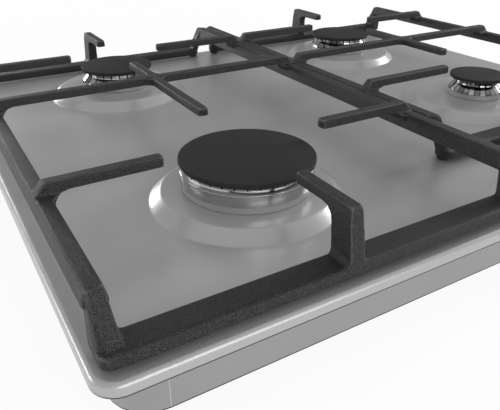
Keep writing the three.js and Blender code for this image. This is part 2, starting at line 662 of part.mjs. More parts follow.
// The flared sides of a prong's foot on the low bar.
function prongFeet(low) {
  const { fingerHalf } = support;
  const high = low + 2 + knee.flare;
  const at = (s, y, z) => new THREE.Vector3(s, y, z);
  return [-1, 1].map((sy) => solid(new ConvexGeometry([
    at(1.5, sy * (fingerHalf - 1), low), at(1.5, sy * (fingerHalf + knee.flare), low + 1.6),
    at(knee.innerFoot - 1, sy * (fingerHalf + knee.flare), low + 1.6),
    at(knee.innerFoot - 1, sy * (fingerHalf - 1), low),
    at(1.8, sy * (fingerHalf + 1), high), at(1.8, sy * (fingerHalf - 1), high),
    at(knee.innerFoot - 0.5, sy * (fingerHalf + 1), high), at(knee.innerFoot - 0.5, sy * (fingerHalf - 1), high),
    at(1.6, sy * (fingerHalf + 1 + knee.flare / 4), high - knee.flare * 0.55),
    at(knee.innerFoot - 0.8, sy * (fingerHalf + 1 + knee.flare / 4), high - knee.flare * 0.55),
  ])));
}

// A concave fillet in the plan corner at (x, y), opening towards (sx, sy).
function planFillet(x, y, sx, sy, radius, z0, z1) {
  const shape = new THREE.Shape();
  shape.moveTo(-2, -2);
  shape.lineTo(radius, -2);
  shape.lineTo(radius, 0);
  shape.absarc(radius, radius, radius, -Math.PI / 2, -Math.PI, true);
  shape.lineTo(-2, radius);
  const geometry = new THREE.ExtrudeGeometry(shape, { depth: z1 - z0, bevelEnabled: false, curveSegments: 2 });
  geometry.translate(0, 0, z0);
  geometry.scale(sx, sy, 1);
  geometry.translate(x, y, 0);
  return solid(geometry);
}

// The two bars along Y. A bar at the split between the supports has no lean on that side.
function sideBar(outer, inner, y0, y1, splitSide) {
  const high = splitSide ? support.splitHeight : support.sideHeight;
  const [top, bottom] = [support.top, support.top - high];
  const outward = Math.sign(outer - inner);
  const outerFoot = splitSide ? outer : outer + outward * support.draft;
  const innerFoot = inner - outward * support.draft;
  return alongY(outline([[outer, top], [outerFoot, bottom], [innerFoot, bottom], [inner, top]]), y0, y1);
}

const hull = (points) => solid(new ConvexGeometry(points));

// The leg at an outer corner, from the end of a side bar down to the low bar. Steps into the
// support from its corner: dx along X, dy along Y.
function outerLeg(outer, y, inX, inY) {
  const [top, low] = [support.top, lowBar.under];
  const w = support.sideWidth;
  const at = ([dx, dy, z]) => new THREE.Vector3(outer + inX * dx, y + inY * dy, z);
  return join(
    hull([[0, 15.8, top], [0, 24, top], [w, 24, top], [w, 17.4, top], [-1, 11, low + 5.5],
      [-1, 20, low + 5.5], [4.1, 7, low + 6.5], [10.4, 16.5, low + 7], [9.6, 20, low + 7],
      [-0.9, 9.8, low], [0.5, 3.3, low], [4.1, 0.4, low], [12, 1, low], [10, 20, low],
      [-0.9, 20, low]].map(at)),
    hull([[4, 12, low + 12], [4, 19, low + 12], [10, 17, low + 12], [10, 19, low + 12],
      [4, 6, low + 6], [4, 19, low + 6], [14, 6, low + 6], [14, 18, low + 6],
      [10.9, 16.8, low + 8.6], [10.9, 18.5, low + 8.6]].map(at)),
  );
}

// The leg at the split: it leans in from the side bar to the rounded end of the low bar.
function splitLeg(outer, y, inX, inY) {
  const [top, low] = [support.top, lowBar.under];
  const w = support.sideWidth;
  const at = ([dx, dy, z]) => new THREE.Vector3(outer + inX * dx, y + inY * dy, z);
  const knuckle = [[8.3, 8, low + 11], [8.3, 16, low + 11], [10.5, 5.5, low + 11], [10.5, 17.3, low + 11],
    [16, 5.5, low + 11], [16, 17.3, low + 11]];
  return join(
    hull([[0, 18, top], [0, 24, top], [w, 24, top], [w, 12.8, top], [w - 3, 12.8, top],
      [0, 17, top - support.splitHeight], ...knuckle].map(at)),
    hull([...knuckle, [8.3, 7, low + 5], [8.3, 12, low + 5], [11, 3, low + 5], [11, 16, low + 5],
      [18, 3, low + 6], [18, 16, low + 6]].map(at)),
  );
}

// A bar across the front or rear, from its outer edge at y towards the inside (sy). Its end at
// the split is fully round; the other has small corners.
function lowerBar(splitX, outerX, y, sy) {
  const [z0, z1] = [lowBar.under, lowBar.under + lowBar.height];
  const { chamfer, lean, width, corner } = lowBar;
  const long = Math.abs(outerX - splitX);
  const half = (width + lean) / 2;
  const shape = new THREE.Shape();
  shape.absarc(half, 0, half, Math.PI / 2, 1.5 * Math.PI, false);
  shape.absarc(long - corner, corner - half, corner, -Math.PI / 2, 0, false);
  shape.absarc(long - corner, half - corner, corner, 0, Math.PI / 2, false);
  const geometry = toGeometry(raised(shape, z0, z1, 4));
  geometry.scale(Math.sign(outerX - splitX), 1, 1);
  geometry.translate(splitX, y + sy * (half - lean), 0);
  const [outerEdge, inner] = [y - sy * lean, y + sy * width];
  const section = outline([[outerEdge, z0], [inner, z0], [inner, z1 - chamfer], [inner - sy * chamfer, z1],
    [y + sy * chamfer, z1], [y, z1 - chamfer]]);
  const [x0, x1] = [Math.min(splitX, outerX), Math.max(splitX, outerX)];
  return solid(geometry).intersect(alongX(section, x0 - 1, x1 + 1));
}

// side is -1 for the left support and +1 for the right one.
function panSupport(side, near, far, nearFront) {
  const outer = side < 0 ? left + support.inset : right - support.inset;
  const split = side * support.splitGap / 2;
  const [x0, x1] = [Math.min(outer, split), Math.max(outer, split)];
  const [y0, y1] = [nearFront, rear - lowBar.inset];
  const [w, start] = [support.sideWidth, support.sideStart];
  const cross = support.crossFromMiddle;
  const barSplit = split + side * lowBar.fromSplit;
  const barOuter = outer + side * lowBar.beyondSide;
  const solids = [
    lowerBar(barSplit, barOuter, y0, 1), lowerBar(barSplit, barOuter, y1, -1),
    sideBar(outer, outer - side * w, y0 + start, y1 - start, false),
    sideBar(split, split + side * w, y0 + start, y1 - start, true),
    outerLeg(outer, y0, -side, 1), outerLeg(outer, y1, -side, -1),
    splitLeg(split, y0, side, 1), splitLeg(split, y1, side, -1),
  ];
  const fromLeft = (y, tip) => solids.push(placed(finger(tip - x0), x0, y));
  const fromRight = (y, tip) => solids.push(placed(finger(x1 - tip), x1, y, 0, 180));
  fromLeft(cross, (x0 + x1) / 2 + 1);
  fromRight(cross, (x0 + x1) / 2 - 1);
  for (const burner of [near, far]) {
    fromLeft(burner.y, burner.x - burner.cap - burner.tips.left);
    fromRight(burner.y, burner.x + burner.cap + burner.tips.right);
  }
  solids.push(crossFinger(near, cross, -1, near.tips.rear), crossFinger(far, cross, 1, far.tips.front));
  solids.push(placed(prong(near.y - near.cap - near.tips.front - y0), near.x, y0, 0, 90));
  solids.push(placed(prong(y1 - far.y - far.cap - far.tips.rear), far.x, y1, 0, -90));
  for (const x of [x0 + foot.inset, x1 - foot.inset]) {
    for (const y of [y0 + lowBar.width / 2, y1 - lowBar.width / 2]) {
      solids.push(placed(rod(foot.radius, gap, lowBar.under + 1), x, y));
    }
  }
  return join(...solids);
}

// The finger that points from the cross bar to a burner, with a rounded web on either side.
function crossFinger(burner, cross, toward, clearance) {
  const [top, edge] = [support.fingerTop, support.fingerHalf + 0.2];
  const length = Math.abs(cross - burner.y) - burner.cap - clearance;
  const webs = [-1, 1].map((sx) => planFillet(burner.x + sx * edge, cross + toward * edge, sx, toward,
    support.fillet, top - support.fingerHigh, top - 0.5));
  return join(placed(barFinger(length), burner.x, cross, 0, toward * 90), ...webs);
}

// A finger that starts inside the cross bar, with no slope at its root.
function barFinger(length) {
  const [top, under] = [support.fingerTop, support.fingerTop - support.fingerHigh];
  const side = new THREE.Shape();
  side.moveTo(0, under);
  side.lineTo(0, top - 0.2);
  blunt(side, length, top - 0.2, under);
  return leaning(side, length);
}

// ---------------------------------------------------------------- electrical pieces

function ignitionModule() {
  const [w, d, h] = [ignition.width, ignition.depth, ignition.height];
  const shape = roundedRect(w, d, 3);
  const body = raised(shape, floor + gap, floor + gap + h, 1);
  const posts = [];
  for (let i = 0; i < 4; i += 1) {
    posts.push(placed(rod(3, floor + gap + h - 1, floor + gap + h + 5, round.tiny), -w / 2 + 10 + i * 14, d / 4));
  }
  const ears = raised(roundedRect(w + 16, 12, 4), floor + gap, floor + gap + 2.5, 1);
  return join(body, ears, ...posts);
}

function terminalBlock() {
  const [w, d, h] = [terminal.width, terminal.depth, terminal.height];
  const body = block(-w / 2, w / 2, -d / 2, d / 2, floor + gap, floor + gap + h);
  const cells = [];
  for (const x of [-w / 3, 0, w / 3]) {
    cells.push(placed(rod(2.6, floor + gap + h - 6, floor + gap + h + 1, round.tiny), x, 0));
    cells.push(lyingRod(2.2, x, floor + gap + h / 2 - 3, -d / 2 - 1, d / 2 + 1, 8));
  }
  return cut(body, ...cells);
}

function cableGland() {
  const [x, z] = [right - gland.fromRight, gland.z];
  const wallIn = trayRear - tray.sheet - gap;
  const wallOut = trayRear + gap;
  const inside = lyingRod(gland.flange, x, z, wallIn - 4, wallIn, 6);
  const body = lyingRod(gland.radius, x, z, wallIn - gland.length + 6, wallOut + 1, round.small);
  const outside = lyingRod(gland.flange, x, z, wallOut, wallOut + 3, 16);
  const nose = lyingRod(gland.radius - 1, x, z, wallOut, wallOut + 8);
  const bore = lyingRod(3.4, x, z, wallIn - gland.length, wallOut + 10, round.tiny);
  return cut(join(inside, body, outside, nose), bore);
}

// ---------------------------------------------------------------- assembly

add('top_plate', topPlate(), 'steel');
add('bottom_box', bottomBox(), 'zinc');
add('sealing_gasket', sealingGasket(), 'rubber');
add('gas_rail', gasRail(), 'zinc');
add('rail_end_plug', railEndPlug(), 'brass');
add('gas_inlet_elbow', inletElbow(), 'brass');

for (const burner of burners) {
  add(`cup_${burner.name}`, burnerCup(burner), 'aluminium', burner.x, burner.y);
  add(`injector_${burner.name}`, burnerInjector(), 'brass', burner.x, burner.y);
  add(`crown_${burner.name}`, burnerCrown(burner), 'aluminium', burner.x, burner.y);
  add(`cap_${burner.name}`, burnerCap(burner), 'enamel', burner.x, burner.y);
  add(`spark_plug_${burner.name}`, sparkPlug(burner), 'ceramic', ...plugAt(burner));
  add(`thermocouple_${burner.name}`, thermocouple(burner), 'copper', ...probeAt(burner));
}

for (const tap of tapList) {
  const name = tap.burner.name;
  add(`gas_tube_${name}`, gasTube(tap), 'aluminium');
  add(`valve_body_${name}`, valveBody(), 'brass', tap.x, tap.y);
  add(`valve_plug_${name}`, valvePlug(), 'brass', tap.x, tap.y);
  add(`valve_stem_${name}`, valveStem(), 'zinc', tap.x, tap.y);
  add(`stem_seal_${name}`, stemSeal(), 'rubber', tap.x, tap.y);
  add(`knob_${name}`, controlKnob(), 'plastic', tap.x, tap.y);
}

add('pan_support_left', panSupport(-1, burners[0], burners[1], front + lowBar.inset), 'iron');
add('pan_support_right', panSupport(1, burners[3], burners[2], front + lowBar.inset + rightSetback), 'iron');
add('ignition_module', ignitionModule(), 'whitePlastic', right - ignition.fromRight, rear - ignition.fromRear);
add('terminal_block', terminalBlock(), 'whitePlastic', right - terminal.fromRight, rear - terminal.fromRear);
add('cable_gland', cableGland(), 'plastic');

export default hob;
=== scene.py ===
"""A built-in gas cooktop with four burners and two cast pan supports."""

import json
import math

import bmesh
import bpy
from mathutils import Matrix, Vector

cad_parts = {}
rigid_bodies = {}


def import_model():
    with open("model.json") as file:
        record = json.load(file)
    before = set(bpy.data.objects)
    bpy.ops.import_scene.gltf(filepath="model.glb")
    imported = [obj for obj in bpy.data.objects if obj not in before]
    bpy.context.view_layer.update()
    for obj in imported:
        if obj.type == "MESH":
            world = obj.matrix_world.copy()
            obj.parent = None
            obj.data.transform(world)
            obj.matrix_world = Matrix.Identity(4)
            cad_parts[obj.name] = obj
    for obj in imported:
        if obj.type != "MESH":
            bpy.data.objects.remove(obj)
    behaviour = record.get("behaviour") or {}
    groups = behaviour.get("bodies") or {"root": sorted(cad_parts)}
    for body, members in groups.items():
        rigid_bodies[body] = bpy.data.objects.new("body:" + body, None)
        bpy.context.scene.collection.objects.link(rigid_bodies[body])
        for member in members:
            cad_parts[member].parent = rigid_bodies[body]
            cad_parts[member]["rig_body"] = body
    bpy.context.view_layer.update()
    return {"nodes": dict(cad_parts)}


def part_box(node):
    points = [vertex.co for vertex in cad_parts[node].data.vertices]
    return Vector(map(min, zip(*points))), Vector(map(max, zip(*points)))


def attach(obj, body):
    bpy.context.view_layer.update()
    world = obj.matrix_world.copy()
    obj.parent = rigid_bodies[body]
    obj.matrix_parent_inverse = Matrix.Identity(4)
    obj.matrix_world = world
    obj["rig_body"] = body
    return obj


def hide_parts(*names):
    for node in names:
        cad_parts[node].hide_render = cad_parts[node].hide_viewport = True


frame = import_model()

# ---------------------------------------------------------------- sizes, in mm

# Pieces are drawn in the cooktop's own frame, with the plate's top face at z = 0 and its middle at
# x = y = 0, and are moved to the room's frame when they are done.
MM = 0.001
plate_top = 38.5
to_room = Matrix.Translation((0, 0, plate_top * MM)) @ Matrix.Scale(MM, 4)

plate = {"width": 580, "depth": 500, "sheet": 1, "corner": 14, "edge": 3, "skirt": 7.5}
rim = {"arc_steps": 8, "flat": 0.6}
seat = {
    "foot": 67, "brow": 59, "brow_high": 7.4, "bend": 1.7, "flat": 45.6, "flat_high": 8.8,
    "ledge": 6,
    # (out, up) from the foot and from the brow
    "foot_bend": [(1.8, 0), (0.9, 0.03), (0.1, 0.25), (-0.7, 0.8)],
    "brow_bend": [(1.7, -1.55), (0.9, -0.85), (0, -0.22), (-0.9, 0.03)],
}
stem_hole, plug_hole, probe_hole = 6, 3.6, 2.3
fine = 128          # sides of a large round piece
burner_names = ("front_left", "rear_left", "rear_right", "front_right")

cap = {"thick": 3.3, "round": 1.2, "spigot": 1.5, "play": 0.6}
crown = {
    "seat": 13.9, "wall": 3.2, "drop": 17, "lip": 2.4, "rim": 5, "floor": 3.5, "round": 0.15,
    "tube": 11, "tube_wall": 2, "tube_gap": 6, "tube_down": 4.5,
    "groove": 0.4, "groove_half": 0.3, "groove_down": 4.8,
    # the cone's lower and upper edges: height from the seat or slots, and share of the flare
    "cone_up": 1.8, "cone_in": 0.12, "cone_down": 1.4, "cone_out": 0.08, "flute": 0.45,
}
crowns = {
    "front_left": {"flare": 0, "slots": 36, "slot_width": 1.0, "slot": 1.1, "sides": fine},
    "rear_left": {"flare": 5.6, "slots": 24, "slot_width": 1.2, "slot": 3, "sides": 48},
    "rear_right": {"flare": 5.6, "slots": 24, "slot_width": 1.2, "slot": 3, "sides": 48},
    "front_right": {"flare": 5.9, "slots": 30, "slot_width": 1.0, "slot": 3, "sides": 60},
}
painted_shade_line = {"plate": 31.7, "box": 0.7}      # heights in mm above the floor below which a sheet's bottom edge is painted near-black: painted shade for the gap under the plate's skirt and the box's line on the floor
# polished strips at the box's corners, drawn as seams: a painted highlight for the bright line at
# each corner's tangent
highlight_strip = {
    "width": 0.7, "depth": 0.6, "round": 0.2, "proud": 0.12, "inset": 12, "corner": 24.5,
    "above_foot": 1, "shorter": 10,
}
casting = {"voxel": 0.7 * MM, "smoothing": 7, "kept": 0.4}
knob = {
    "radius": 19, "skirt": 4, "top_radius": 16.5, "above": 5.2, "height": 11, "round": 0.9,
    "bore": 5.5, "hollow": 3, "wall": 2, "grip": 9, "grip_high": 11, "grip_round": 1.2, "sunk": 1,
}

# ---------------------------------------------------------------- materials


class Value:
    """A shader socket that can be used in a sum."""

    def __init__(self, finish, socket):
        self.finish = finish
        self.socket = socket

    def math(self, operation, first, second=0):
        return self.finish.node("ShaderNodeMath", {"operation": operation}, {0: first, 1: second})

    def __add__(self, other):
        return self.math("ADD", self, other)

    def __radd__(self, other):
        return self.math("ADD", other, self)

    def __sub__(self, other):
        return self.math("SUBTRACT", self, other)

    def __rsub__(self, other):
        return self.math("SUBTRACT", other, self)

    def __mul__(self, other):
        return self.math("MULTIPLY", self, other)


class Finish:
    """A material, or the world, as a tree of nodes."""

    def __init__(self, owner):
        self.owner = owner
        owner.use_nodes = True
        self.tree = owner.node_tree

    def node(self, kind, settings=None, sockets=None, output=0):
        made = self.tree.nodes.new(kind)
        for name, value in (settings or {}).items():
            if name == "stops":
                ramp = made.color_ramp
                while len(ramp.elements) < len(value):
                    ramp.elements.new(1)
                for element, (position, level) in zip(ramp.elements, value):
                    element.position = position
                    element.color = (level, level, level, 1)
            else:
                setattr(made, name, value)
        for name, value in (sockets or {}).items():
            self.feed(made.inputs[name], value)
        return Value(self, made.outputs[output]) if len(made.outputs) else None

    def feed(self, socket, value):
        if isinstance(value, Value):
            self.tree.links.new(value.socket, socket)
        else:
            socket.default_value = value

    def along(self, axis, space="Object"):
        """One coordinate of the piece in metres, or of a direction."""
        where = self.node("ShaderNodeTexCoord", output=space)
        return self.node("ShaderNodeSeparateXYZ", {}, {"Vector": where}, axis)

    def place(self, stretch=(1, 1, 1)):
        where = self.node("ShaderNodeTexCoord", output="Object")
        return self.node("ShaderNodeMapping", {}, {"Vector": where, "Scale": stretch})

    def noise(self, where, scale, detail=2.0, roughness=0.5):
        sockets = {"Vector": where, "Scale": scale, "Detail": detail, "Roughness": roughness}
        return self.node("ShaderNodeTexNoise", {"noise_dimensions": "3D"}, sockets)

    def below(self, height):
        """1 on the part of a piece that lies below a height in mm above the floor."""
        z = self.along("Z")
        return z.math("LESS_THAN", z, height * MM)

    def pointed(self):
        """Above 0.5 on an outward edge, below 0.5 in a hollow."""
        return self.node("ShaderNodeNewGeometry", output="Pointiness")

    def ramp(self, value, stops):
        return self.node("ShaderNodeValToRGB", {"stops": stops}, {"Fac": value})

    def blend(self, factor, first, second):
        first, second = (c if isinstance(c, Value) else (*c, 1) for c in (first, second))
        sockets = {"Factor": factor, "A": first, "B": second}
        made = self.tree.nodes.new("ShaderNodeMix")
        made.data_type = "RGBA"
        for socket in made.inputs:
            of_colours = socket.type == "RGBA" or socket.name == "Factor"
            if socket.name in sockets and of_colours and socket.enabled:
                self.feed(socket, sockets[socket.name])
        return Value(self, next(s for s in made.outputs if s.type == "RGBA"))

    def bump(self, height, strength, distance):
        sockets = {"Height": height, "Strength": strength, "Distance": distance}
        return self.node("ShaderNodeBump", {}, sockets)

    def surface(self, **sockets):
        shader = self.tree.nodes["Principled BSDF"]
        for name, value in sockets.items():
            self.feed(shader.inputs[name.replace("_", " ")], value)
        return self.owner


def grey(level, warm=0.0):
    return (level * (1 + warm), level, level * (1 - warm))


def material(name):
    return Finish(bpy.data.materials.new(name))


def satin_steel():
    f = material("satin_steel")
    brushed = f.noise(f.place((12, 900, 900)), 1.0, 2)
    grain = f.noise(f.place(), 1100.0, 2)
    cloud = f.noise(f.place(), 7.0, 2)
    colour = f.blend(cloud, grey(0.38, 0.005), grey(0.43, 0.005))
    return f.surface(
        # The lowest strip of the skirt is painted near-black: painted shade of the gap under the
        # rim.
        Base_Color=f.blend(f.below(painted_shade_line["plate"]), colour, grey(0.03)), Metallic=0.45,
        Roughness=0.25 + cloud * 0.06 + grain * 0.08,
        Normal=f.bump(grain * 0.8 + brushed * 0.2, 0.7, 0.00015))


def folded_zinc():
    f = material("folded_zinc")
    grain = f.noise(f.place(), 700.0, 2)
    cloud = f.noise(f.place(), 12.0, 2)
    colour = f.blend(cloud, grey(0.31), grey(0.36))
    return f.surface(
        # The lowest strip of the box wall is painted near-black: painted shade where the box meets
        # the floor.
        Base_Color=f.blend(f.below(painted_shade_line["box"]), colour, grey(0.03)), Metallic=1.0,
        Roughness=0.30 + grain * 0.12,
        Normal=f.bump(grain, 0.15, 0.0001))


def cast_iron():
    f = material("cast_iron")
    sand = f.noise(f.place(), 1700.0, 2, 0.6)
    lumps = f.noise(f.place(), 260.0, 2)
    speck = f.ramp(sand, [(0.45, 0.0), (0.62, 1.0)])
    # Outward edges are painted lighter: a painted highlight along the rounded edges of the casting.
    painted_edge_highlight = f.ramp(f.pointed(), [(0.515, 0.0), (0.565, 1.0)])
    colour = f.blend(painted_edge_highlight * 0.6, f.blend(speck, grey(0.003), grey(0.040)), grey(0.16))
    return f.surface(
        Base_Color=colour, Roughness=0.42 + lumps * 0.2, Specular_IOR_Level=0.3,
        Normal=f.bump(sand * 0.85 + lumps * 0.15, 0.9, 0.0004))


def cap_enamel():
    f = material("cap_enamel")
    grain = f.noise(f.place(), 900.0, 2)
    cloud = f.noise(f.place(), 30.0, 2)
    colour = f.blend(cloud, grey(0.017), grey(0.022))
    return f.surface(
        Base_Color=colour, Roughness=0.62 + grain * 0.1, Specular_IOR_Level=0.15,
        Normal=f.bump(grain, 0.12, 0.0001))


def polished_aluminium():
    f = material("polished_aluminium")
    turned_lines = f.noise(f.place((60, 60, 4000)), 1.0, 2)
    cloud = f.noise(f.place(), 60.0, 2)
    colour = f.blend(cloud, grey(0.44), grey(0.54))
    return f.surface(
        Base_Color=colour, Metallic=1.0, Roughness=0.07 + turned_lines * 0.10,
        Normal=f.bump(turned_lines, 0.12, 0.0001))


def slotted_aluminium(name, centre, slots):
    """Polished metal with slot lines painted near-black round a centre, as painted shade, and the
    facets between them each painted a random grey from dark to light, as painted reflection.
    """
    f = material(f"slotted_aluminium_{name}")
    x, y = f.along("X") - centre[0] * MM, f.along("Y") - centre[1] * MM
    turn = y.math("ARCTAN2", y, x) * (slots / (2 * math.pi))
    # Painted shade: a near-black line at each slot's angle, down the whole height of the crown.
    slot = f.ramp(turn.math("FRACT", turn), [(0.0, 1.0), (0.10, 1.0), (0.18, 0.0)])
    whole = {"W": turn.math("FLOOR", turn)}
    # Painted reflection: each of the facets gets a random grey from dark to light, standing for the
    # bright and dark facets of polished metal.
    painted_facet_reflection = f.node("ShaderNodeTexWhiteNoise", {"noise_dimensions": "1D"}, whole)
    colour = f.blend(slot, f.blend(painted_facet_reflection, grey(0.14), grey(0.58)), grey(0.03))
    return f.surface(Base_Color=colour, Metallic=1.0, Roughness=0.08 + painted_facet_reflection * 0.10)


def cast_aluminium():
    f = material("cast_aluminium")
    grain = f.noise(f.place(), 800.0, 3)
    colour = f.blend(grain, grey(0.30), grey(0.36))
    return f.surface(
        Base_Color=colour, Metallic=0.6, Roughness=0.50 + grain * 0.15,
        Normal=f.bump(grain, 0.3, 0.0002))


def brass():
    f = material("brass")
    grain = f.noise(f.place(), 500.0, 2)
    colour = f.blend(grain, (0.45, 0.29, 0.10), (0.60, 0.42, 0.16))
    return f.surface(
        Base_Color=colour, Metallic=1.0, Roughness=0.28 + grain * 0.15,
        Normal=f.bump(grain, 0.1, 0.0001))


def copper():
    f = material("copper")
    grain = f.noise(f.place(), 600.0, 2)
    colour = f.blend(grain, (0.20, 0.15, 0.12), (0.30, 0.23, 0.19))
    return f.surface(
        Base_Color=colour, Metallic=1.0, Roughness=0.28 + grain * 0.15,
        Normal=f.bump(grain, 0.1, 0.0001))


def ceramic():
    f = material("ceramic")
    grain = f.noise(f.place(), 900.0, 2)
    colour = f.blend(grain, (0.70, 0.67, 0.60), (0.80, 0.78, 0.72))
    return f.surface(
        Base_Color=colour, Roughness=0.25 + grain * 0.1,
        Normal=f.bump(grain, 0.05, 0.0001))


def rubber():
    f = material("rubber")
    grain = f.noise(f.place(), 1200.0, 3)
    colour = f.blend(grain, grey(0.012), grey(0.022))
    return f.surface(
        Base_Color=colour, Roughness=0.75 + grain * 0.15,
        Normal=f.bump(grain, 0.3, 0.0001))


def black_plastic():
    f = material("black_plastic")
    grain = f.noise(f.place(), 1500.0, 3)
    colour = f.blend(grain, grey(0.012), grey(0.020))
    return f.surface(
        Base_Color=colour, Roughness=0.32 + grain * 0.14,
        Normal=f.bump(grain, 0.15, 0.0001))


def white_plastic():
    f = material("white_plastic")
    grain = f.noise(f.place(), 900.0, 3)
    colour = f.blend(grain, (0.62, 0.61, 0.57), (0.72, 0.71, 0.67))
    return f.surface(
        Base_Color=colour, Roughness=0.42 + grain * 0.1,
        Normal=f.bump(grain, 0.1, 0.0001))


finishes = {
    "brushed_plate": satin_steel(),
    "zinc_sheet": folded_zinc(),
    "cast_iron": cast_iron(),
    "enamel": cap_enamel(),
    "polished_aluminium": polished_aluminium(),
    "cast_aluminium": cast_aluminium(),
    "brass": brass(),
    "copper": copper(),
    "ceramic": ceramic(),
    "rubber": rubber(),
    "black_plastic": black_plastic(),
    "white_plastic": white_plastic(),
}

# ---------------------------------------------------------------- shaping


def middle(node):
    """The middle of a CAD node in plan, in mm from the plate's middle."""
    low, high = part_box(node)
    return ((low.x + high.x) / 2 / MM, (low.y + high.y) / 2 / MM)


def top_of(node):
    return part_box(node)[1].z / MM - plate_top


def radius_of(node):
    low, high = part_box(node)
    return (high.x - low.x) / 2 / MM


def turned(bm, points, sides, centre=(0, 0)):
    """Spins a line of (radius, z) points round the vertical through centre."""
    x, y = centre
    verts = [bm.verts.new((x + r, y, z)) for r, z in points]
    edges = [bm.edges.new(pair) for pair in zip(verts, verts[1:])]
    bmesh.ops.spin(
        bm, geom=verts + edges, cent=(x, y, 0), axis=(0, 0, 1), dvec=(0, 0, 0),
        angle=2 * math.pi, steps=sides, use_merge=True, use_normal_flip=False, use_duplicate=False)


def close_up(bm):
    bmesh.ops.remove_doubles(bm, verts=bm.verts, dist=0.0005)
    bmesh.ops.recalc_face_normals(bm, faces=bm.faces)


def soften(bm, width, segments, angle=25):
    """Rounds every edge that turns by more than the angle."""
    limit = math.radians(angle)
    edges = [e for e in bm.edges if e.is_manifold and e.calc_face_angle() > limit]
    bmesh.ops.bevel(
        bm, geom=edges, offset=width, offset_type="OFFSET", segments=segments, profile=0.5,
        affect="EDGES", clamp_overlap=True, material=-1)


def rounded_face(bm, width, depth, corner, z, centre=(0, 0), segments=12):
    """A flat face with rounded corners."""
    x, y = width / 2, depth / 2
    spots = [(-x, -y), (x, -y), (x, y), (-x, y)]
    verts = [bm.verts.new((centre[0] + a, centre[1] + b, z)) for a, b in spots]
    bm.faces.new(verts)
    made = bmesh.ops.bevel(
        bm, geom=verts, offset=corner, offset_type="OFFSET", segments=segments, profile=0.5,
        affect="VERTICES", clamp_overlap=True, material=-1)
    return max((v.link_faces[0] for v in made["verts"]), key=lambda f: f.calc_area())


def lift(bm, face, height):
    made = bmesh.ops.extrude_face_region(bm, geom=[face])["geom"]
    verts = [g for g in made if isinstance(g, bmesh.types.BMVert)]
    bmesh.ops.translate(bm, verts=verts, vec=(0, 0, height))
    return next(g for g in made if isinstance(g, bmesh.types.BMFace))


def hole(bm, centre, radius, z, sides):
    place = Matrix.Translation((centre[0], centre[1], z))
    bmesh.ops.create_circle(bm, cap_ends=False, radius=radius, segments=sides, matrix=place)


def fill_level(bm, z, centre=(0, 0), nearest=0, furthest=1000):
    """Fills the flat sheet between the open rings at z, at these distances from a centre."""
    near = 0.01

    def inside(v):
        distance = (v.co.xy - Vector(centre)).length
        return nearest - near < distance < furthest + near and abs(v.co.z - z) < near
    edges = [e for e in bm.edges if len(e.link_faces) < 2 and all(inside(v) for v in e.verts)]
    bmesh.ops.triangle_fill(bm, use_beauty=True, use_dissolve=False, edges=edges, normal=(0, 0, 1))


def piece(name, bm, slot, body, replaced=(), smooth=30):
    """Turns a drawing into an object with its finish, on its body."""
    bmesh.ops.transform(bm, matrix=to_room, verts=bm.verts)
    mesh = bpy.data.meshes.new(name)
    bm.to_mesh(mesh)
    bm.free()
    return finished(bpy.data.objects.new(name, mesh), slot, body, replaced, smooth)


def finished(made, slot, body, replaced, smooth):
    bpy.context.scene.collection.objects.link(made)
    made.data.materials.clear()
    made.data.materials.append(finishes[slot])
    made.data.shade_smooth()
    made.data.set_sharp_from_angle(angle=math.radians(smooth))
    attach(made, body)
    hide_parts(*replaced)
    return made


def even_shading(made):
    made.modifiers.new("even_shading", "WEIGHTED_NORMAL").keep_sharp = True


def merged_copy(node):
    """A CAD node's shape with its points merged and its flat faces whole."""
    mesh = frame["nodes"][node].data.copy()
    bm = bmesh.new()
    bm.from_mesh(mesh)
    bmesh.ops.remove_doubles(bm, verts=bm.verts, dist=1e-6)
    bmesh.ops.dissolve_limit(
        bm, angle_limit=math.radians(0.3), use_dissolve_boundaries=False, verts=bm.verts,
        edges=bm.edges, delimit=set())
    bm.to_mesh(mesh)
    bm.free()
    return mesh


def body_of(node):
    return frame["nodes"][node]["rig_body"]


def carried(node, slot, smooth=35):
    """A CAD piece whose shape is right, with smooth shading and its finish."""
    made = bpy.data.objects.new(f"{node}_finished", merged_copy(node))
    finished(made, slot, body_of(node), [node], smooth)
    even_shading(made)
    return made


# ---------------------------------------------------------------- the plate


def plug_and_probe_holes(bm, name, z):
    hole(bm, middle(f"spark_plug_{name}"), plug_hole, z, 24)
    hole(bm, middle(f"thermocouple_{name}"), probe_hole, z, 20)


def draw_in(bm, face, inwards, upwards):
    bmesh.ops.inset_region(
        bm, faces=[face], thickness=inwards, depth=upwards, use_boundary=True, use_even_offset=True)


def pressed_plate():
    """The top sheet: a skirt, a rounded edge, four raised seats and the holes for the stems."""
    bm = bmesh.new()
    edge = plate["edge"]
    bottom = rounded_face(bm, plate["width"], plate["depth"], plate["corner"], -plate["skirt"])
    face = lift(bm, bottom, plate["skirt"] - edge)
    for i in range(rim["arc_steps"]):
        a, b = (math.pi / 2 * k / rim["arc_steps"] for k in (i, i + 1))
        draw_in(bm, face, edge * (math.cos(a) - math.cos(b)), edge * (math.sin(b) - math.sin(a)))
    draw_in(bm, face, rim["flat"], 0)
    bmesh.ops.delete(bm, geom=[face], context="FACES_ONLY")
    if bottom.is_valid:
        bmesh.ops.delete(bm, geom=[bottom], context="FACES_ONLY")
    for name in burner_names:
        pressed_seat(bm, name)
        hole(bm, middle(f"knob_{name}"), stem_hole, 0, 32)
    fill_level(bm, 0)
    close_up(bm)
    made = piece("pressed_plate", bm, "brushed_plate", "hob", ["top_plate"])
    sheet = made.modifiers.new("sheet", "SOLIDIFY")
    sheet.thickness = plate["sheet"] * MM
    sheet.offset = -1
    even_shading(made)
    return made


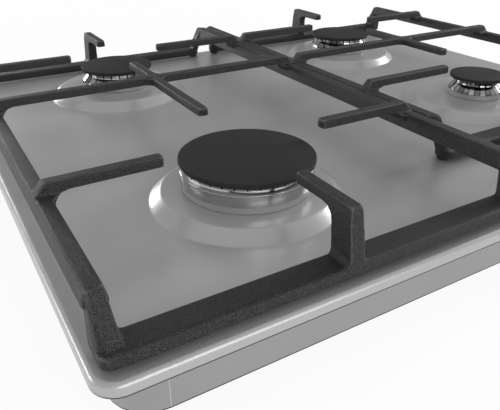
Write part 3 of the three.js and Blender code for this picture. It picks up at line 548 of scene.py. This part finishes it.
def pressed_seat(bm, name):
    """A burner seat: a slope with soft bends, a shallow cone inside its brow, and a flat middle."""
    centre = middle(f"cap_{name}")
    foot, brow, high, top = seat["foot"], seat["brow"], seat["brow_high"], seat["flat_high"]
    cone_edge = brow - seat["bend"]
    slope = [(foot + out, up) for out, up in seat["foot_bend"]]
    slope += [(brow + out, high + up) for out, up in seat["brow_bend"]]
    turned(bm, [*slope, (cone_edge, top)], fine, centre)
    turned(bm, [(seat["flat"], top)], fine, centre)
    cup_edge = radius_of(f"cup_{name}") - seat["ledge"]
    hole(bm, centre, cup_edge, top, 96)
    plug_and_probe_holes(bm, name, top)
    fill_level(bm, top, centre, cup_edge, seat["flat"])
    fill_level(bm, top, centre, seat["flat"], cone_edge)
    for v in bm.verts:
        beyond = (v.co.xy - Vector(centre)).length - seat["flat"]
        if 0 < beyond < cone_edge + 0.01 - seat["flat"]:
            v.co.z -= (top - high) * beyond / (brow - seat["flat"])


def corner_highlight_strips():
    """Thin polished strips where the box's sides meet its rounded corners, drawn as closed seams: a
    painted highlight standing for the bright line at each corner's tangent.
    """
    low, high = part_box("bottom_box")
    foot = low.z / MM - plate_top + highlight_strip["above_foot"]
    across = plate["width"] / 2 - highlight_strip["inset"] - highlight_strip["corner"]
    side = plate["depth"] / 2 - highlight_strip["inset"]
    bm = bmesh.new()
    for x in (-across, across):
        for y in (-side, side):
            centre = (x, y - math.copysign(highlight_strip["depth"] / 2 - highlight_strip["proud"], y))
            face = rounded_face(bm, highlight_strip["width"], highlight_strip["depth"], highlight_strip["round"], foot, centre, 3)
            lift(bm, face, (high.z - low.z) / MM - highlight_strip["shorter"])
    bmesh.ops.recalc_face_normals(bm, faces=bm.faces)
    piece("box_corner_highlight_strips", bm, "polished_aluminium", "hob")


# ---------------------------------------------------------------- burners


def burner_cap(name):
    """The enamelled lid, with a round edge and a spigot that fits inside the crown."""
    node = f"cap_{name}"
    r, top = radius_of(node), top_of(node)
    under = top - cap["thick"]
    spigot = crown_top_radius(name) - crown["wall"] - cap["play"]
    bm = bmesh.new()
    turned(bm, [
        (0, under - cap["spigot"]), (spigot, under - cap["spigot"]), (spigot, under), (r, under),
        (r, top), (0, top),
    ], fine)
    close_up(bm)
    soften(bm, cap["round"], 5, 60)
    bmesh.ops.translate(bm, verts=bm.verts, vec=(*middle(node), 0))
    return piece(f"{node}_enamelled", bm, "enamel", f"cap_{name}", [node])


def crown_foot(name):
    return radius_of(f"crown_{name}")


def crown_top_radius(name):
    return crown_foot(name) - crowns[name]["flare"]


def burner_crown(name):
    """The polished ring under the cap: a turned body with a row of teeth round its top."""
    node = f"crown_{name}"
    kind = crowns[name]
    foot, brow = crown_foot(name), crown_top_radius(name)
    top = top_of(node)
    base = crown["seat"]
    slot_floor = top - kind["slot"]
    inner = brow - crown["wall"]
    tube = min(crown["tube"], inner - crown["tube_gap"])
    tube_bore, tube_top = tube - crown["tube_wall"], top - crown["tube_down"]
    lip, drop, floor = base - crown["lip"], base - crown["drop"], base + crown["floor"]
    bm = bmesh.new()
    turned(bm, [
        (tube_bore, drop), (tube, drop), (tube, lip), (foot - crown["rim"], lip),
        (foot - crown["rim"], base), (foot, base), *outer_wall(kind, foot, brow, base, top),
        (brow, slot_floor), (inner, slot_floor), (inner, floor), (tube, floor),
        (tube, tube_top), (tube_bore, tube_top), (tube_bore, drop),
    ], kind["sides"])
    close_up(bm)
    if kind["flare"]:
        flute(bm, kind, brow - 1, foot - 0.5, base + 1, slot_floor - 0.5)
    soften(bm, crown["round"], 2, 60)
    add_teeth(bm, inner, brow, slot_floor, top, kind)
    bmesh.ops.translate(bm, verts=bm.verts, vec=(*middle(node), 0))
    facets = 4 if kind["flare"] else 30
    ring = piece(f"{node}_polished", bm, "polished_aluminium", node, [node], facets)
    if kind["flare"]:
        ring.data.materials[0] = slotted_aluminium(name, middle(node), kind["slots"])
    return ring


def outer_wall(kind, foot, brow, base, top):
    """The outside between the foot and the slots: a cone, or upright with a turned groove."""
    if kind["flare"]:
        return [
            (foot - kind["flare"] * crown["cone_in"], base + crown["cone_up"]),
            (brow + kind["flare"] * crown["cone_out"], top - kind["slot"] - crown["cone_down"]),
        ]
    line, half = top - crown["groove_down"], crown["groove_half"]
    return [(foot, line - half), (foot - crown["groove"], line), (foot, line + half)]


def flute(bm, kind, nearest, furthest, low, high):
    """Draws every other line of the cone inwards, so its facets stand at an angle in pairs."""
    step = 2 * math.pi / kind["sides"]
    for v in bm.verts:
        if nearest < v.co.xy.length < furthest and low < v.co.z < high:
            if round(math.atan2(v.co.y, v.co.x) / step) % 2:
                v.co.xy *= 1 - crown["flute"] / v.co.xy.length


def add_teeth(bm, inner, outer, low, high, kind):
    """A row of teeth with the crown's slots between them."""
    step = 2 * math.pi / kind["slots"]
    wide = step - kind["slot_width"] / outer
    corners = [(inner, low), (outer, low), (outer, high), (inner, high)]
    start = Matrix.Rotation((step - wide) / 2, 3, "Z")
    section = bm.faces.new([bm.verts.new(start @ Vector((r, 0, z))) for r, z in corners])
    before = set(bm.verts)
    bmesh.ops.spin(
        bm, geom=[section], cent=(0, 0, 0), axis=(0, 0, 1), dvec=(0, 0, 0), angle=wide,
        steps=3, use_merge=False, use_normal_flip=False, use_duplicate=False)
    tooth = [v for v in bm.verts if v not in before]
    if section.is_valid:
        tooth += section.verts
    faces = {f for v in tooth for f in v.link_faces}
    edges = {e for f in faces for e in f.edges}
    verts = {v for f in faces for v in f.verts}
    bmesh.ops.spin(
        bm, geom=list(verts) + list(edges) + list(faces), cent=(0, 0, 0), axis=(0, 0, 1),
        dvec=(0, 0, 0), angle=2 * math.pi - step, steps=kind["slots"] - 1, use_merge=False,
        use_normal_flip=False, use_duplicate=True)
    bmesh.ops.recalc_face_normals(bm, faces=bm.faces)


# ---------------------------------------------------------------- pan supports


def cast_support(node):
    """A pan support: the CAD shape with the soft edges and filled corners of a casting."""
    made = bpy.data.objects.new(f"{node}_cast", merged_copy(node))
    finished(made, "cast_iron", body_of(node), [node], 180)
    skin = made.modifiers.new("casting_skin", "REMESH")
    skin.mode = "VOXEL"
    skin.voxel_size = casting["voxel"]
    skin.use_smooth_shade = True
    soft = made.modifiers.new("soft_edges", "SMOOTH")
    soft.factor = 0.5
    soft.iterations = casting["smoothing"]
    made.modifiers.new("fewer_faces", "DECIMATE").ratio = casting["kept"]
    return made


# ---------------------------------------------------------------- knobs


def control_knob(name):
    """A moulded knob: a skirt, a cone and a finger grip across the top."""
    node = f"knob_{name}"
    z, r, t = knob["above"], knob["radius"], knob["top_radius"]
    brow, inside, ceiling = z + knob["height"], r - knob["wall"], z + knob["hollow"]
    bm = bmesh.new()
    turned(bm, [
        (knob["bore"], ceiling), (inside, ceiling), (inside, z), (r, z), (r, z + knob["skirt"]),
        (t, brow), (0, brow),
    ], 96)
    close_up(bm)
    soften(bm, knob["round"], 4, 30)
    grip = rounded_face(
        bm, 2 * t - 1, knob["grip"], knob["grip"] / 2 - 0.4, brow - knob["sunk"], segments=8)
    before = set(bm.faces) - {grip}
    lift(bm, grip, knob["grip_high"] + knob["sunk"])
    around = [f for f in bm.faces if f not in before]
    edges = {e for f in around for e in f.edges if e.is_manifold and e.calc_face_angle() > 1.2
             and all(v.co.z > brow + 2 for v in e.verts)}
    bmesh.ops.bevel(
        bm, geom=list(edges), offset=knob["grip_round"], offset_type="OFFSET", segments=4,
        profile=0.5, affect="EDGES", clamp_overlap=True, material=-1)
    turn = Matrix.Rotation(math.pi / 2, 3, "Z")
    bmesh.ops.rotate(bm, cent=(0, 0, 0), matrix=turn, verts=bm.verts)
    bmesh.ops.translate(bm, verts=bm.verts, vec=(*middle(node), 0))
    bmesh.ops.recalc_face_normals(bm, faces=bm.faces)
    return piece(f"{node}_moulded", bm, "black_plastic", body_of(node), [node])


# ---------------------------------------------------------------- studio


def camera():
    """The photograph's camera, from its vanishing lines and the burner circles."""
    lens = bpy.data.cameras.new("camera")
    lens.sensor_width = 36
    lens.lens = 41.898
    lens.shift_x = -0.00574
    lens.shift_y = -0.06616
    lens.clip_start = 0.01
    made = bpy.data.objects.new("camera", lens)
    bpy.context.scene.collection.objects.link(made)
    made.location = (-0.3247, -0.4351, 0.2259)
    made.rotation_euler = Vector((0.4611, 0.7749, -0.4322)).to_track_quat("-Z", "Y").to_euler()
    bpy.context.scene.camera = made


def softbox(name, azimuth, elevation, distance, wide, high, strength):
    """A rectangular lamp that faces the cooktop's middle."""
    light = bpy.data.lights.new(name, "AREA")
    light.shape = "RECTANGLE"
    light.size, light.size_y = wide, high
    light.energy = strength * math.pi * wide * high
    made = bpy.data.objects.new(name, light)
    bpy.context.scene.collection.objects.link(made)
    a, e = math.radians(azimuth), math.radians(elevation)
    direction = Vector((math.cos(a) * math.cos(e), math.sin(a) * math.cos(e), math.sin(e)))
    made.location = direction * distance
    made.rotation_euler = (-made.location).to_track_quat("-Z", "Y").to_euler()


def seen(f):
    """Whether a ray shows the surroundings: to the camera, and also by way of metal or glass."""
    to_camera, by_metal, by_glass = (
        f.node("ShaderNodeLightPath", output=f"Is {ray} Ray")
        for ray in ("Camera", "Glossy", "Transmission"))
    return to_camera, f.node("ShaderNodeClamp", {}, {"Value": to_camera + by_metal + by_glass})


# what metal shows of the room, from the horizon up
sky = [(0.0, 1.0), (0.08, 0.58), (0.33, 0.33), (0.6, 0.57)]


def studio_world():
    world = bpy.data.worlds.new("studio")
    bpy.context.scene.world = world
    f = Finish(world)
    f.tree.nodes.clear()
    to_camera, shown = seen(f)
    overhead = f.ramp(f.along("Z", "Generated"), sky)
    strength = to_camera + (1 - to_camera) * overhead
    soft = f.node("ShaderNodeBackground", {}, {"Color": (1, 1, 1, 1), "Strength": 0.7})
    white = f.node("ShaderNodeBackground", {}, {"Color": (1, 1, 1, 1), "Strength": strength})
    mixed = f.node("ShaderNodeMixShader", {}, {"Fac": shown, 1: soft, 2: white})
    f.node("ShaderNodeOutputWorld", {}, {"Surface": mixed})


def pale_floor():
    bm = bmesh.new()
    bmesh.ops.create_grid(bm, x_segments=1, y_segments=1, size=6)
    mesh = bpy.data.meshes.new("floor")
    bm.to_mesh(mesh)
    bm.free()
    made = bpy.data.objects.new("floor", mesh)
    bpy.context.scene.collection.objects.link(made)
    made.location.z = -0.0005
    f = material("pale_floor")
    f.surface(Base_Color=(0.8, 0.8, 0.8, 1), Roughness=0.9, Specular_IOR_Level=0.0)
    f.tree.nodes["Principled BSDF"].inputs["Emission Color"].default_value = (1, 1, 1, 1)
    shader = Value(f, f.tree.nodes["Principled BSDF"].outputs[0])
    glow = f.node("ShaderNodeEmission", {}, {"Color": (1, 1, 1, 1), "Strength": 1.0})
    mixed = f.node("ShaderNodeMixShader", {}, {"Fac": seen(f)[1] * 0.92, 1: shader, 2: glow})
    f.feed(f.tree.nodes["Material Output"].inputs["Surface"], mixed)
    mesh.materials.append(f.owner)


# ---------------------------------------------------------------- assembly

shared_pieces = {
    "bottom_box": "zinc_sheet",
    "sealing_gasket": "rubber",
    "gas_rail": "zinc_sheet",
    "rail_end_plug": "brass",
    "gas_inlet_elbow": "brass",
    "ignition_module": "white_plastic",
    "terminal_block": "white_plastic",
    "cable_gland": "black_plastic",
}
burner_pieces = {
    "cup": "cast_aluminium",
    "injector": "brass",
    "spark_plug": "ceramic",
    "thermocouple": "copper",
    "gas_tube": "cast_aluminium",
    "valve_body": "brass",
    "valve_plug": "brass",
    "valve_stem": "zinc_sheet",
    "stem_seal": "rubber",
}

camera()
studio_world()
pale_floor()
softbox("back_softbox", 103, 9, 2.2, 0.6, 0.5, 14.0)
softbox("right_softbox", 2, 21, 2.2, 0.65, 0.65, 19.0)
softbox("front_softbox", -90, 16, 2.2, 2.2, 1.2, 3.0)
softbox("left_softbox", 150, 8, 2.2, 1.0, 0.7, 6.0)

pressed_plate()
corner_highlight_strips()
for name in burner_names:
    burner_cap(name)
    burner_crown(name)
    control_knob(name)
for node in ("pan_support_left", "pan_support_right"):
    cast_support(node)

for node, slot in shared_pieces.items():
    carried(node, slot)
for name in burner_names:
    for kind, slot in burner_pieces.items():
        carried(f"{kind}_{name}", slot)

bpy.context.scene.view_settings.view_transform = "Standard"
